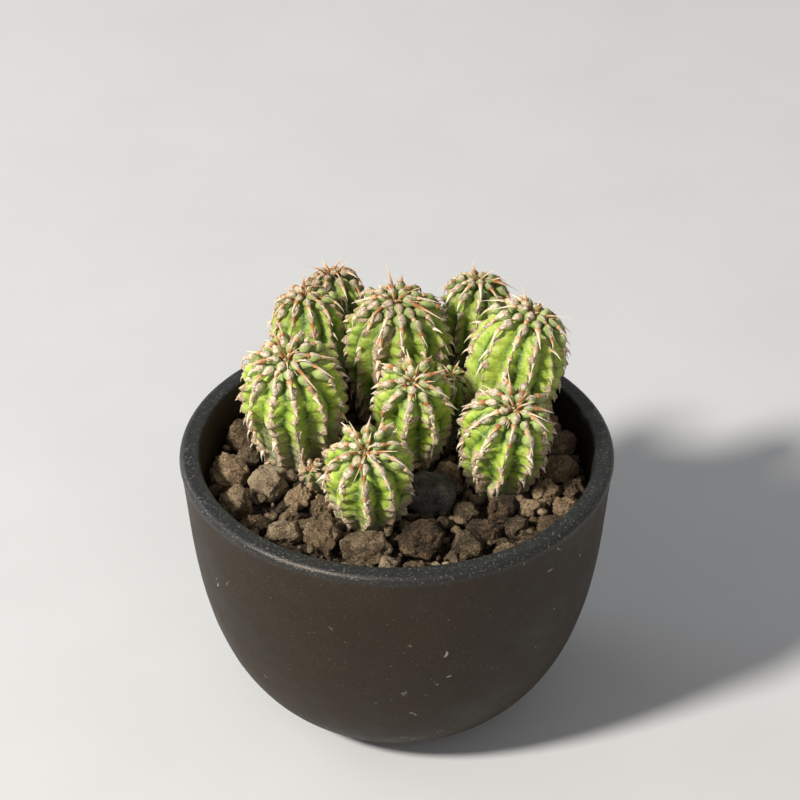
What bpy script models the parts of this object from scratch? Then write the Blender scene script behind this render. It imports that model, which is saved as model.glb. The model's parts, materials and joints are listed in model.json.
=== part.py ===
"""Potted euphorbia: a clump of short ribbed stems growing in a round cup-shaped pot.

Metres, +Z up.  The origin is the centre of the pot's underside, so the pot stands on Z = 0.
The pot, the soil in it, each stem of the clump and each stone of the gravel are separate solids.
The stems stand in sockets in the soil, and the stones lie on the soil round the stems' feet.
"""
import math
import random

import bmesh
import bpy
import numpy as np
from mathutils import Vector

# ---- pot -----------------------------------------------------------------------------------
POT_RADIUS = 0.0550          # outer radius at the rim
POT_HEIGHT = 0.0750
POT_WALL = 0.0050            # thickness of the side, and width of the rim's flat top
POT_FLOOR = 0.0060           # thickness of the bottom
FOOT_RADIUS = 0.0230         # the flat underside that the pot stands on
DRAIN_RADIUS = 0.0050        # hole in the middle of the bottom
RIM_ROUND_OUT = 0.0017       # rounding of the rim's outer edge
RIM_ROUND_IN = 0.0008        # rounding of the rim's inner edge
BELLY_HEIGHT = 0.0113        # height of the side curve's lower handle, which sets the round belly
SHOULDER_HEIGHT = 0.0604     # height of the side curve's upper handle
RIM_FLARE = 0.0030           # how far the side still spreads above that handle
POT_SEGMENTS = 56
SIDE_STEPS = 11
INNER_FINENESS = 4           # steps of the offset curve for each point kept on the inner side

# ---- planting ------------------------------------------------------------------------------
SOIL_DROP = 0.0125           # from the rim down to the top of the soil
CLEARANCE = 0.0003           # gap between pieces that touch
PLANTED_DEPTH = 0.0040       # how deep the foot of a stem goes into the soil
RIM_MARGIN = 0.0006          # room kept between a leaning stem and the rim's inner edge
STEM_OVERHANG = 0.60         # how fast a stem may lean out over the rim: metres across per metre up
USUAL_SOIL = 0.04835         # radius of soil that the sizes of the stems and stones below are for

# ---- shape of a stem -------------------------------------------------------------------------
FOOT_SHARE = 0.50            # a stem's foot, as a share of its girth
DOME_SHARE = 0.95            # height of the rounded crown, as a share of its girth
VALLEY_SHARE = 0.80          # radius in the grooves between ribs, as a share of the crest's
DOME_POWER = 2.3             # above 2 makes the crown flatter than a ball
BARREL_POWER = 0.70          # below 1 makes a stem widen quickly over the soil, like a barrel
BEND_HEIGHT = 0.55           # where a leaning stem bends, as a share of its height
BEND_LEAN = 0.20             # how much of its lean a stem has there
GROOVES_FULL = 0.25          # share of the axis at which the grooves reach their full depth
LOWER_STEPS = (0.10, 0.24, 0.42, 0.62, 0.82, 1.0)
UPPER_STEPS = (0.32, 0.58, 0.78, 0.92)

# name: (foot x, foot y as shares of the soil's radius, lean x, lean y, height over the soil,
#        girth, number of ribs, turn of the first rib in degrees)
STEMS = {
    "stem_left": (-0.517, 0.213, -0.0026, -0.0075, 0.0369, 0.0135, 12, 8),
    "stem_front": (-0.137, -0.290, -0.0010, -0.0090, 0.0275, 0.0117, 10, 15),
    "stem_middle": (0.083, 0.244, 0.0001, -0.0109, 0.0318, 0.0104, 9, 20),
    "stem_front_right": (0.529, 0.012, 0.0037, -0.0081, 0.0293, 0.0121, 11, 3),
    "stem_right": (0.544, 0.356, 0.0077, 0.0016, 0.0399, 0.0128, 12, 12),
    "stem_centre_back": (0.000, 0.571, 0.0000, -0.0028, 0.0399, 0.0139, 13, 0),
    "stem_back_right": (0.381, 0.745, 0.0028, 0.0028, 0.0371, 0.0089, 11, 9),
    "stem_back_left": (-0.438, 0.608, -0.0026, 0.0038, 0.0361, 0.0102, 11, 18),
    "stem_far_back": (-0.290, 0.807, -0.0030, 0.0072, 0.0349, 0.0076, 10, 5),
    "stem_small": (0.290, 0.314, 0.0014, -0.0012, 0.0235, 0.0047, 8, 10),
    "stem_bud": (-0.405, -0.087, -0.0020, -0.0018, 0.0105, 0.0035, 7, 0),
}

SWOLLEN = (0.20, 0.85)       # the stretch of the axis where stems press on each other
YOUNG_STEMS = ("stem_small", "stem_bud")   # these fit in between the grown stems
ELBOW_ROOM = 0.85            # free width that a young stem moves to find, as a share of its girth

# ---- gravel ----------------------------------------------------------------------------------
STONE_SINK = 0.34            # height of a stone's middle over the soil, as a share of its height
STONE_ROUGHNESS = 0.17       # how far a stone's corners stand in or out, as a share of its size
SETTLE_ROUNDS = 60           # rounds of nudging pieces apart
EASE = 0.5                   # share of an overlap that one nudge takes away
STONE_BESIDE_STEM = 0.9      # free width a stone finds beside a stem, as a share of its radius
FAN_SIZE = 400               # directions tried for the plane between two pieces
SEED = 41

# (x, y as shares of the soil's radius, length, width, height in metres, turn in degrees, kind)
STONES = (
    (-0.60, -0.52, 0.0115, 0.0072, 0.0075, 12, "pale"),
    (-0.36, -0.56, 0.0102, 0.0096, 0.0102, 0, "brown"),
    (-0.12, -0.59, 0.0158, 0.0112, 0.0104, 8, "dark"),
    (-0.49, -0.18, 0.0082, 0.0074, 0.0086, 70, "brown"),
    (-0.66, -0.09, 0.0132, 0.0100, 0.0106, -38, "pale"),
    (-0.82, -0.28, 0.0108, 0.0098, 0.0100, 20, "dark"),
    (-0.83, 0.06, 0.0132, 0.0100, 0.0104, -20, "brown"),
    (-0.33, -0.29, 0.0084, 0.0066, 0.0076, 25, "brown"),
    (-0.55, -0.34, 0.0062, 0.0056, 0.0064, 0, "brown"),
    (-0.44, -0.38, 0.0060, 0.0052, 0.0058, 30, "pale"),
    (0.17, -0.24, 0.0168, 0.0128, 0.0118, 12, "slate"),
    (0.16, -0.60, 0.0148, 0.0118, 0.0112, -5, "brown"),
    (0.38, -0.56, 0.0122, 0.0076, 0.0090, -38, "pale"),
    (0.49, -0.45, 0.0108, 0.0066, 0.0074, -32, "brown"),
    (0.39, -0.30, 0.0080, 0.0066, 0.0070, 0, "pale"),
    (0.60, -0.27, 0.0120, 0.0074, 0.0080, 16, "brown"),
    (0.62, -0.43, 0.0084, 0.0070, 0.0066, 10, "dark"),
    (0.74, -0.48, 0.0086, 0.0076, 0.0078, 30, "brown"),
    (-0.21, -0.77, 0.0064, 0.0058, 0.0060, 0, "brown"),
    (-0.06, -0.76, 0.0068, 0.0064, 0.0076, 80, "pale"),
    (0.53, -0.68, 0.0098, 0.0070, 0.0064, 20, "brown"),
    (0.62, -0.12, 0.0064, 0.0060, 0.0068, 0, "brown"),
    (0.74, -0.13, 0.0098, 0.0080, 0.0080, 10, "brown"),
    (0.86, -0.27, 0.0100, 0.0070, 0.0068, -28, "brown"),
    (0.87, 0.04, 0.0110, 0.0096, 0.0102, 60, "brown"),
    (0.85, 0.26, 0.0104, 0.0092, 0.0098, 40, "dark"),
    (0.77, 0.49, 0.0108, 0.0092, 0.0104, -50, "brown"),
    (-0.82, 0.32, 0.0116, 0.0094, 0.0094, -60, "brown"),
    (-0.70, 0.19, 0.0070, 0.0070, 0.0080, 0, "pale"),
    (-0.72, -0.42, 0.0092, 0.0080, 0.0070, 0, "brown"),
    (-0.56, -0.74, 0.0104, 0.0090, 0.0072, -30, "brown"),
    (-0.38, -0.85, 0.0100, 0.0080, 0.0072, -25, "brown"),
    (-0.19, -0.92, 0.0098, 0.0072, 0.0068, -12, "dark"),
    (0.02, -0.92, 0.0112, 0.0076, 0.0070, 0, "brown"),
    (0.24, -0.88, 0.0116, 0.0078, 0.0070, 14, "brown"),
    (0.44, -0.84, 0.0100, 0.0072, 0.0066, 28, "pale"),
    (0.71, -0.66, 0.0094, 0.0072, 0.0066, 40, "brown"),
    (0.62, 0.70, 0.0118, 0.0086, 0.0092, -45, "brown"),
    (0.38, 0.92, 0.0104, 0.0072, 0.0084, -20, "dark"),
    (0.10, 0.93, 0.0120, 0.0078, 0.0086, 0, "brown"),
    (-0.48, 0.84, 0.0112, 0.0080, 0.0086, 35, "brown"),
    (-0.70, 0.60, 0.0118, 0.0092, 0.0094, 50, "dark"),
    (-0.20, 0.07, 0.0110, 0.0086, 0.0086, 60, "dark"),
    (0.29, 0.02, 0.0104, 0.0090, 0.0080, 20, "brown"),
    (0.93, -0.10, 0.0072, 0.0066, 0.0070, 0, "dark"),
)

# ---- colours (linear RGB), roughness -----------------------------------------------------------
FINISHES = {
    "pot": ((0.040, 0.034, 0.030), 0.62),
    "soil": ((0.045, 0.030, 0.020), 0.95),
    "stem": ((0.190, 0.330, 0.050), 0.55),
    "bud": ((0.120, 0.095, 0.060), 0.80),
    "brown": ((0.185, 0.125, 0.080), 0.95),
    "pale": ((0.330, 0.255, 0.170), 0.92),
    "dark": ((0.080, 0.060, 0.045), 0.95),
    "slate": ((0.050, 0.052, 0.048), 0.70),
}


def remove_everything():
    for old in list(bpy.data.objects):
        bpy.data.objects.remove(old, do_unlink=True)


def finish(name):
    """The Principled material of one finish, made on first use."""
    material = bpy.data.materials.get(name)
    if material is None:
        colour, roughness = FINISHES[name]
        material = bpy.data.materials.new(name)
        material.use_nodes = True
        shader = material.node_tree.nodes["Principled BSDF"]
        shader.inputs["Base Color"].default_value = (*colour, 1.0)
        shader.inputs["Roughness"].default_value = roughness
        shader.inputs["Metallic"].default_value = 0.0
        material.diffuse_color = (*colour, 1.0)
    return material


def add_object(name, mesh, material_name, smooth_angle=35.0):
    """Put a mesh in the scene as a named, shaded object."""
    mesh.materials.append(finish(material_name))
    mesh.shade_smooth()
    mesh.set_sharp_from_angle(angle=math.radians(smooth_angle))
    thing = bpy.data.objects.new(name, mesh)
    bpy.context.collection.objects.link(thing)
    return thing


def closed_mesh(name, build):
    """A mesh made by a bmesh function, with its faces pointing out."""
    bm = bmesh.new()
    build(bm)
    bmesh.ops.recalc_face_normals(bm, faces=bm.faces)
    mesh = bpy.data.meshes.new(name)
    bm.to_mesh(mesh)
    bm.free()
    return mesh


# ---- pot and soil ------------------------------------------------------------------------------
def side_curve(share):
    """A point (radius, height) on the pot's outer side and the curve's direction there."""
    handles = (
        Vector((FOOT_RADIUS, 0.0)),
        Vector((POT_RADIUS, BELLY_HEIGHT)),
        Vector((POT_RADIUS - RIM_FLARE, SHOULDER_HEIGHT)),
        Vector((POT_RADIUS, POT_HEIGHT - RIM_ROUND_OUT)),
    )
    back = 1.0 - share
    weights = (back**3, 3 * back**2 * share, 3 * back * share**2, share**3)
    point = sum((h * w for h, w in zip(handles, weights)), Vector((0.0, 0.0)))
    slopes = (3 * back**2, 6 * back * share, 3 * share**2)
    steps = (b - a for a, b in zip(handles, handles[1:]))
    direction = sum((s * w for s, w in zip(steps, slopes)), Vector((0.0, 0.0)))
    return point, direction.normalized()


def inner_side(inset=0.0):
    """The inner side as (radius, height) from the floor up, moved in by a further inset."""
    points = []
    fine_steps = SIDE_STEPS * INNER_FINENESS
    for index in range(fine_steps + 1):
        point, direction = side_curve(index / fine_steps)
        points.append(point + Vector((-direction.y, direction.x)) * (POT_WALL + inset))
    floor = POT_FLOOR + inset
    above = [p for p in points if p.y > floor]
    below = [p for p in points if p.y <= floor]
    start = above[0]
    if below:
        part = (floor - below[-1].y) / (above[0].y - below[-1].y)
        start = below[-1].lerp(above[0], part)
    return [start] + above[INNER_FINENESS // 2::INNER_FINENESS]


def inner_radius(height, inset=0.0):
    """Radius of the pot's inside at one height."""
    line = inner_side(inset)
    return float(np.interp(height, [p.y for p in line], [p.x for p in line]))


def quarter_round(corner, radius, start, steps):
    """Points of a quarter circle that rounds a corner, from the angle start, anticlockwise."""
    angles = [math.radians(start + 90.0 * k / steps) for k in range(steps + 1)]
    return [corner + Vector((math.cos(a), math.sin(a))) * radius for a in angles]


def pot_profile():
    outer = [side_curve(k / SIDE_STEPS)[0] for k in range(SIDE_STEPS)]
    rim_out = quarter_round(Vector((POT_RADIUS - RIM_ROUND_OUT, POT_HEIGHT - RIM_ROUND_OUT)),
                            RIM_ROUND_OUT, 0.0, 3)
    inner_edge = POT_RADIUS - POT_WALL
    rim_in = quarter_round(Vector((inner_edge + RIM_ROUND_IN, POT_HEIGHT - RIM_ROUND_IN)),
                           RIM_ROUND_IN, 90.0, 2)
    below_rim = POT_HEIGHT - 2.0 * RIM_ROUND_IN
    inner = [p for p in reversed(inner_side()) if p.y < below_rim and p.x < inner_edge]
    hole = [Vector((DRAIN_RADIUS, POT_FLOOR)), Vector((DRAIN_RADIUS, 0.0))]
    return outer + rim_out + rim_in + inner + hole


def soil_profile():
    top = soil_top()
    side = [p for p in inner_side(CLEARANCE) if p.y < top - PLANTED_DEPTH / 2]
    return [Vector((0.0, side[0].y))] + side + [Vector((inner_radius(top, CLEARANCE), top)),
                                                Vector((0.0, top))]


def soil_top():
    return POT_HEIGHT - SOIL_DROP


def soil_radius():
    return inner_radius(soil_top(), CLEARANCE)


def plant_scale():
    """Size of the stems and stones, which grow with the soil that they stand on."""
    return soil_radius() / USUAL_SOIL


def turned(bm, profile, closed):
    """Turn a (radius, height) profile round Z.  Points on the axis close the ends."""
    rings = []
    for point in profile:
        if point.x < 1e-7:
            rings.append([bm.verts.new((0.0, 0.0, point.y))])
            continue
        ring = []
        for k in range(POT_SEGMENTS):
            angle = 2.0 * math.pi * k / POT_SEGMENTS
            ring.append(bm.verts.new((point.x * math.cos(angle), point.x * math.sin(angle),
                                      point.y)))
        rings.append(ring)
    bridge_rings(bm, rings, closed)


def bridge_rings(bm, rings, closed):
    """Join rings of vertices in order.  A ring of one vertex is a tip."""
    pairs = list(zip(rings, rings[1:]))
    if closed:
        pairs.append((rings[-1], rings[0]))
    for low, high in pairs:
        count = max(len(low), len(high))
        for k in range(count):
            after = (k + 1) % count
            corners = [low[k % len(low)], low[after % len(low)],
                       high[after % len(high)], high[k % len(high)]]
            unique = list(dict.fromkeys(corners))
            bm.faces.new(unique)


def make_pot():
    mesh = closed_mesh("pot", lambda bm: turned(bm, pot_profile(), closed=True))
    return add_object("pot", mesh, "pot")


def make_soil(stems):
    mesh = closed_mesh("soil", lambda bm: turned(bm, soil_profile(), closed=False))
    soil = add_object("soil", mesh, "soil")
    for stem in stems:
        socket = stem.socket()
        cut = soil.modifiers.new("socket " + stem.name, "BOOLEAN")
        cut.operation = "DIFFERENCE"
        cut.solver = "EXACT"
        cut.object = socket
    return soil


# ---- room for one piece among its neighbours ---------------------------------------------------
class Room:
    """The convex space that one piece may fill: half-spaces and round walls round the Z axis."""

    def __init__(self):
        self.normals = []
        self.offsets = []
        self.walls = []

    def keep_behind(self, point, normal):
        """Stay on the side of a plane that its normal points away from."""
        self.normals.append(np.array(normal))
        self.offsets.append(float(np.dot(point, normal)))

    def keep_inside(self, wall):
        """Stay inside the radius that wall(height) gives."""
        self.walls.append(wall)

    def holds(self, point):
        if self.normals and np.any(np.array(self.normals) @ point > np.array(self.offsets)):
            return False
        return all(math.hypot(point[0], point[1]) <= wall(point[2]) for wall in self.walls)

    def reach(self, start, direction, length):
        """The point up to length away from start, or where the room ends if that is nearer."""
        if self.holds(start + direction * length):
            return start + direction * length
        low, high = 0.0, length
        for _ in range(24):
            middle = 0.5 * (low + high)
            if self.holds(start + direction * middle):
                low = middle
            else:
                high = middle
        return start + direction * low


def fan_of_directions(count):
    """Directions spread evenly over a ball."""
    golden = math.pi * (3.0 - math.sqrt(5.0))
    heights = [1.0 - 2.0 * (k + 0.5) / count for k in range(count)]
    return np.array([(math.sqrt(1 - z * z) * math.cos(golden * k),
                      math.sqrt(1 - z * z) * math.sin(golden * k), z)
                     for k, z in enumerate(heights)])


def gap_to_hull(points, corners, fan):
    """Widest gap between some points and a solid's hull, and the direction towards the hull."""
    gaps = np.min(corners @ fan.T, axis=0) - np.max(points @ fan.T, axis=0)
    best = int(np.argmax(gaps))
    return gaps[best], fan[best]


# ---- stems ---------------------------------------------------------------------------------------
class Stem:
    def __init__(self, name, foot_x, foot_y, lean_x, lean_y, height, girth, ribs, turn):
        self.name = name
        self.girth = girth * plant_scale()
        self.ribs = ribs
        self.turn = math.radians(turn)
        self.height = height * plant_scale()
        self.foot = np.array((foot_x * soil_radius(), foot_y * soil_radius(), soil_top()))
        rise = np.array((lean_x, lean_y, height)) * plant_scale()
        self.crown = self.foot + rise
        self.middle = self.foot + rise * (BEND_LEAN, BEND_LEAN, BEND_HEIGHT)
        self.foot_radius = FOOT_SHARE * self.girth
        self.room = Room()
        self.room.keep_inside(rim_cone)
        self.room.keep_behind((0.0, 0.0, soil_top() + CLEARANCE), (0.0, 0.0, -1.0))

    def axis(self, share):
        """A point on the stem's curved axis, from 0 at the soil to 1 at the crown."""
        back = 1.0 - share
        return back**2 * self.foot + 2 * back * share * self.middle + share**2 * self.crown

    def direction(self, share):
        along = (1.0 - share) * (self.middle - self.foot) + share * (self.crown - self.middle)
        return along / np.linalg.norm(along)

    def widest(self):
        return 1.0 - DOME_SHARE * self.girth / self.height

    def outline(self):
        """Pairs (share of the axis, radius of the rib crests there) from the soil to the crown."""
        widest = self.widest()
        spread = self.girth - self.foot_radius
        pairs = []
        for step in LOWER_STEPS:
            swell = math.sin(step * math.pi / 2)**BARREL_POWER
            pairs.append((step * widest, self.foot_radius + spread * swell))
        for step in UPPER_STEPS:
            share = widest + step * (1.0 - widest)
            pairs.append((share, self.girth * math.sqrt(1.0 - step**DOME_POWER)))
        return pairs

    def frame(self, share):
        """Two directions across the axis: the first as near to +X as can be."""
        along = self.direction(share)
        across = np.array((1.0, 0.0, 0.0)) - along[0] * along
        across /= np.linalg.norm(across)
        return across, np.cross(along, across)

    def ring(self, share, crest, grooves):
        """Points round the axis: rib crests and the grooves between them, in turn."""
        centre = self.axis(share)
        across, other = self.frame(share)
        points = []
        for k in range(2 * self.ribs):
            angle = self.turn + math.pi * k / self.ribs
            away = across * math.cos(angle) + other * math.sin(angle)
            radius = crest if k % 2 == 0 else crest * grooves
            points.append(self.room.reach(centre, away, radius))
        return points

    def peg(self, radius, depth):
        """Two rings of the round foot: at the soil's top and down in it."""
        rings = []
        for drop in (depth, 0.0):
            ring = []
            for k in range(2 * self.ribs):
                angle = self.turn + math.pi * k / self.ribs
                ring.append(self.foot + np.array((radius * math.cos(angle),
                                                  radius * math.sin(angle), -drop)))
            rings.append(ring)
        return rings

    def rings(self):
        rings = self.peg(self.foot_radius, PLANTED_DEPTH)
        for share, radius in self.outline():
            fade = min(1.0, share / GROOVES_FULL)
            rings.append(self.ring(share, radius, 1.0 - (1.0 - VALLEY_SHARE) * fade))
        return rings

    def corners(self):
        return np.array([point for ring in self.rings() for point in ring])

    def move(self, across):
        self.foot += across
        self.middle += across
        self.crown += across

    def build(self, bm):
        rings = [[bm.verts.new(p) for p in ring] for ring in self.rings()]
        bottom = bm.verts.new(self.foot - np.array((0.0, 0.0, PLANTED_DEPTH)))
        tip = bm.verts.new(self.crown)
        bridge_rings(bm, [[bottom]] + rings + [[tip]], closed=False)

    def make(self):
        look = "bud" if self.name == "stem_bud" else "stem"
        return add_object(self.name, closed_mesh(self.name, self.build), look)

    def socket(self):
        """The cutter that leaves room for this stem's foot in the soil."""
        def build(bm):
            deep, top = self.peg(self.foot_radius + CLEARANCE, PLANTED_DEPTH + CLEARANCE)
            raised = [p + np.array((0.0, 0.0, PLANTED_DEPTH)) for p in top]
            low = [bm.verts.new(p) for p in deep]
            high = [bm.verts.new(p) for p in raised]
            bm.faces.new(low)
            bm.faces.new(high)
            bridge_rings(bm, [low, high], closed=False)
        cutter = bpy.data.objects.new("socket_" + self.name, closed_mesh("socket", build))
        bpy.context.collection.objects.link(cutter)
        cutter.hide_render = True
        cutter.display_type = "WIRE"
        return cutter


def rim_cone(height):
    """How far out a stem may reach: inside the rim's edge, and further out above it."""
    edge = POT_RADIUS - POT_WALL - RIM_MARGIN
    return edge + (height - POT_HEIGHT) * STEM_OVERHANG


def part_stems(stems):
    """Set a plane between each two stems, nearer to the thinner one, that neither crosses."""
    shares = np.linspace(*SWOLLEN, 11)
    for index, one in enumerate(stems):
        for two in stems[index + 1:]:
            near = [(np.linalg.norm(one.axis(a) - two.axis(b)), a, b)
                    for a in shares for b in shares]
            distance, a, b = min(near)
            start, end = one.axis(a), two.axis(b)
            away = (end - start) / distance
            between = start + away * distance * one.girth / (one.girth + two.girth)
            one.room.keep_behind(between - away * CLEARANCE / 2, away)
            two.room.keep_behind(between + away * CLEARANCE / 2, -away)


def fit_between(young, hulls, fan):
    """Move a young stem to the free place nearest to it, and keep it off the grown stems."""
    shares = np.linspace(0.0, 1.0, 9)
    for _ in range(SETTLE_ROUNDS):
        for corners in hulls:
            gap, away = gap_to_hull(np.array([young.axis(k) for k in shares]), corners, fan)
            lack = young.girth * ELBOW_ROOM - gap
            flat = away * (1.0, 1.0, 0.0)
            if lack > 0.0:
                young.move(-flat / np.linalg.norm(flat) * lack * EASE)
    for corners in hulls:
        spine = np.array([young.axis(k) for k in shares])
        gap, away = gap_to_hull(spine, corners, fan)
        young.room.keep_behind(away * (np.max(spine @ away) + gap - CLEARANCE), away)


def make_stems():
    stems = [Stem(name, *values) for name, values in STEMS.items()]
    grown = [stem for stem in stems if stem.name not in YOUNG_STEMS]
    part_stems(grown)
    hulls = [stem.corners() for stem in grown]
    fan = fan_of_directions(FAN_SIZE)
    for young in stems:
        if young.name in YOUNG_STEMS:
            fit_between(young, hulls, fan)
            hulls.append(young.corners())
    for stem in stems:
        stem.make()
    return stems


# ---- gravel ----------------------------------------------------------------------------------
def ball_points():
    """Corners and faces of a ball of 80 triangles with a radius of 1."""
    bm = bmesh.new()
    bmesh.ops.create_icosphere(bm, subdivisions=2, radius=1.0)
    corners = [np.array(v.co) for v in bm.verts]
    faces = [[v.index for v in f.verts] for f in bm.faces]
    bm.free()
    return corners, faces


class Stone:
    def __init__(self, x, y, length, width, height, turn, kind):
        self.half = np.array((length, width, height)) / 2.0 * plant_scale()
        self.turn = math.radians(turn)
        self.kind = kind
        middle = soil_top() + CLEARANCE + STONE_SINK * 2.0 * self.half[2]
        self.centre = np.array((x * soil_radius(), y * soil_radius(), middle))

    def flat_radius(self):
        return 0.5 * (self.half[0] + self.half[1])

    def nudge(self, across):
        self.centre[:2] += across


def push_off_stones(stones):
    for index, one in enumerate(stones):
        for two in stones[index + 1:]:
            apart = two.centre[:2] - one.centre[:2]
            distance = np.linalg.norm(apart)
            lack = one.flat_radius() + two.flat_radius() - distance
            if lack > 0.0:
                across = apart / distance * lack * EASE / 2
                one.nudge(-across)
                two.nudge(across)


def push_off_stems(stones, hulls, fan):
    for stone in stones:
        for corners in hulls:
            gap, away = gap_to_hull(stone.centre[None], corners, fan)
            lack = stone.flat_radius() * STONE_BESIDE_STEM - gap
            flat = away[:2]
            if lack > 0.0:
                stone.nudge(-flat / np.linalg.norm(flat) * lack * EASE)


def push_off_wall(stones):
    for stone in stones:
        distance = np.linalg.norm(stone.centre[:2])
        lack = distance + stone.flat_radius() - soil_radius()
        if lack > 0.0:
            stone.nudge(-stone.centre[:2] / distance * lack)


def settle(stones, hulls, fan):
    """Nudge the stones apart, off the stems and inside the wall."""
    for _ in range(SETTLE_ROUNDS):
        push_off_stones(stones)
        push_off_wall(stones)
        push_off_stems(stones, hulls, fan)


def stone_room(stone, others, hulls, fan):
    """The room of one stone: over the soil, inside the wall, clear of stems and other stones."""
    room = Room()
    room.keep_behind((0.0, 0.0, soil_top() + CLEARANCE), (0.0, 0.0, -1.0))
    line = inner_side(2.0 * CLEARANCE)
    heights = [p.y for p in line]
    radii = [p.x for p in line]
    room.keep_inside(lambda z: float(np.interp(z, heights, radii)))
    for corners in hulls:
        gap, away = gap_to_hull(stone.centre[None], corners, fan)
        room.keep_behind(stone.centre + away * (gap - CLEARANCE), away)
    for other in others:
        apart = other.centre - stone.centre
        distance = np.linalg.norm(apart)
        away = apart / distance
        share = stone.flat_radius() / (stone.flat_radius() + other.flat_radius())
        room.keep_behind(stone.centre + away * (distance * share - CLEARANCE / 2), away)
    return room


def make_gravel(stems):
    fan = fan_of_directions(FAN_SIZE)
    hulls = [stem.corners() for stem in stems]
    stones = [Stone(*values) for values in STONES]
    settle(stones, hulls, fan)
    dice = random.Random(SEED)
    corners, faces = ball_points()
    for number, stone in enumerate(stones, start=1):
        others = [other for other in stones if other is not stone]
        room = stone_room(stone, others, hulls, fan)
        turn_x = np.array((math.cos(stone.turn), math.sin(stone.turn), 0.0))
        turn_y = np.array((-math.sin(stone.turn), math.cos(stone.turn), 0.0))
        points = []
        for corner in corners:
            rough = 1.0 + STONE_ROUGHNESS * dice.uniform(-1.0, 1.0)
            x, y, z = corner * stone.half * rough
            offset = turn_x * x + turn_y * y + np.array((0.0, 0.0, z))
            length = np.linalg.norm(offset)
            points.append(room.reach(stone.centre, offset / length, length))
        name = f"stone_{number:02d}"
        mesh = bpy.data.meshes.new(name)
        mesh.from_pydata([tuple(p) for p in points], [], faces)
        add_object(name, mesh, stone.kind)


remove_everything()
make_pot()
planted = make_stems()
make_soil(planted)
make_gravel(planted)
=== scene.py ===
"""Looks of the potted euphorbia: its ribbed stems, spines, gravel, soil and pot.

Everything is in metres, +Z up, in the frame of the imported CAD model.  Each stem's axis, ribs and
girth are read from its CAD node, and the detail is built on those.
"""

import json
import math
import random

import bmesh
import bpy
import numpy as np
from mathutils import Matrix, Vector, noise
from mathutils.bvhtree import BVHTree


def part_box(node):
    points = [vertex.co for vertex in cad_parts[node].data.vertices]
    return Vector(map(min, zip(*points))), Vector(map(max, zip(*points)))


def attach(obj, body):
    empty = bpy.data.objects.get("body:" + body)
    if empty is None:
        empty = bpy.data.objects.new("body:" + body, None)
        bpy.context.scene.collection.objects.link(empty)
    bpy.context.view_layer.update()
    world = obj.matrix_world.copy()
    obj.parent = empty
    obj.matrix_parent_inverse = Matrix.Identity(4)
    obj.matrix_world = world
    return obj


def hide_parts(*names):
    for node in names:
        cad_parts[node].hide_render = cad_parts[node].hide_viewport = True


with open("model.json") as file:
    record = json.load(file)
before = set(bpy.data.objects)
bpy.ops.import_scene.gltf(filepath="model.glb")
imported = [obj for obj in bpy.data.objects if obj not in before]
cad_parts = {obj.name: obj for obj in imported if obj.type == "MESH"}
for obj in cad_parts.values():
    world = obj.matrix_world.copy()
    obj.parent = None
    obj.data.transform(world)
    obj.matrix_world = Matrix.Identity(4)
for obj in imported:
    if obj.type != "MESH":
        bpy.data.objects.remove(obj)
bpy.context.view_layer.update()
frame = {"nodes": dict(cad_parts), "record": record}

NODES = frame["nodes"]
SLOT_OF = {part["node"]: part["material_slot"] for part in frame["record"]["subparts"]}
UP = np.array((0.0, 0.0, 1.0))
TURN = 2.0 * math.pi

# ---- pot: the CAD model's own sizes ----
POT_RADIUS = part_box("pot")[1].x
POT_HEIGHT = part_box("pot")[1].z
POT_WALL = 0.005
POT_FLOOR = 0.006
FOOT_RADIUS = 0.023
DRAIN_RADIUS = 0.005
RIM_ROUND_OUT = 0.0017
RIM_ROUND_IN = 0.0008
BELLY_HEIGHT = 0.0113
SHOULDER_HEIGHT = 0.0604
RIM_FLARE = 0.003
POT_SEGMENTS = 240
SIDE_STEPS = 90
THROWN_WAVE = 0.00012  # unevenness of the pot's surface
RIM_FADE = (0.0036, 0.001)  # below the top, where the rim's own colour starts and is full

SOIL_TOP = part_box("soil")[1].z
SOIL_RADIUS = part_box("soil")[1].x
SOIL_CRUMBS = 0.0011  # how far the soil's crumbs stand up or sink
SOIL_RINGS = 75

# ---- stems: the rule by which the CAD model shapes them ----
FOOT_SHARE = 0.5
DOME_SHARE = 0.95
DOME_POWER = 2.3
BARREL_POWER = 0.7
BEND_HEIGHT = 0.55
BEND_LEAN = 0.2
DOME_READ = 0.88  # share of the dome up to which the CAD skin is measured
FOOT_READ = 0.04  # share of the axis from which it is measured
SQUEEZED = 0.93  # a CAD skin under this share of the free radius is pressed in
SQUEEZE_ROWS = 7  # rows over which that is smoothed
RAY_LENGTH = 0.05

ROW_STEP = 0.0004  # spacing of the skin's rows of vertices
COLUMNS = 16  # vertices across one rib
COLUMN_CROWDING = 0.35  # how much closer they are at the crest and in the groove
GROOVE_DEPTH = 0.17  # depth of a groove, as a share of the radius
CROWN_GROOVES = 0.2  # how much deeper the grooves are near the crown
CROWN_REACH = 0.006  # how far down from the crown they are deeper
GROOVE_SHAPE = 0.95  # below 1 makes the rib's edge sharper
ROUND_SHARE = 0.45  # how much of a rib's shape is round and not a roof
ZIGZAG = 0.1  # how far tubercles push a groove aside, as a share of a rib
RIB_WANDER = 0.3  # how far a rib strays sideways, as a share of its width
WANDER_START = 0.01  # distance from the crown at which it strays in full
SKIN_DEPTH = 0.0015  # how far the skin goes down into the soil
USUAL_GIRTH = 0.012  # tubercles keep their size on a stem of this girth
TOOTH_RISE = 0.00125  # how far a tubercle stands out of its rib
TOOTH_LEVEL = 0.7  # height of a tubercle, from 0 to 1, that is level with the rib
TOOTH_FADE = (0.001, 0.006)  # distances from the crown between which tubercles set in
CREST_ONLY = 1.7  # above 1 keeps a tubercle off the flanks of its rib
FIRST_TOOTH = 0.0019  # from the crown to a rib's first tubercle
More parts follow.
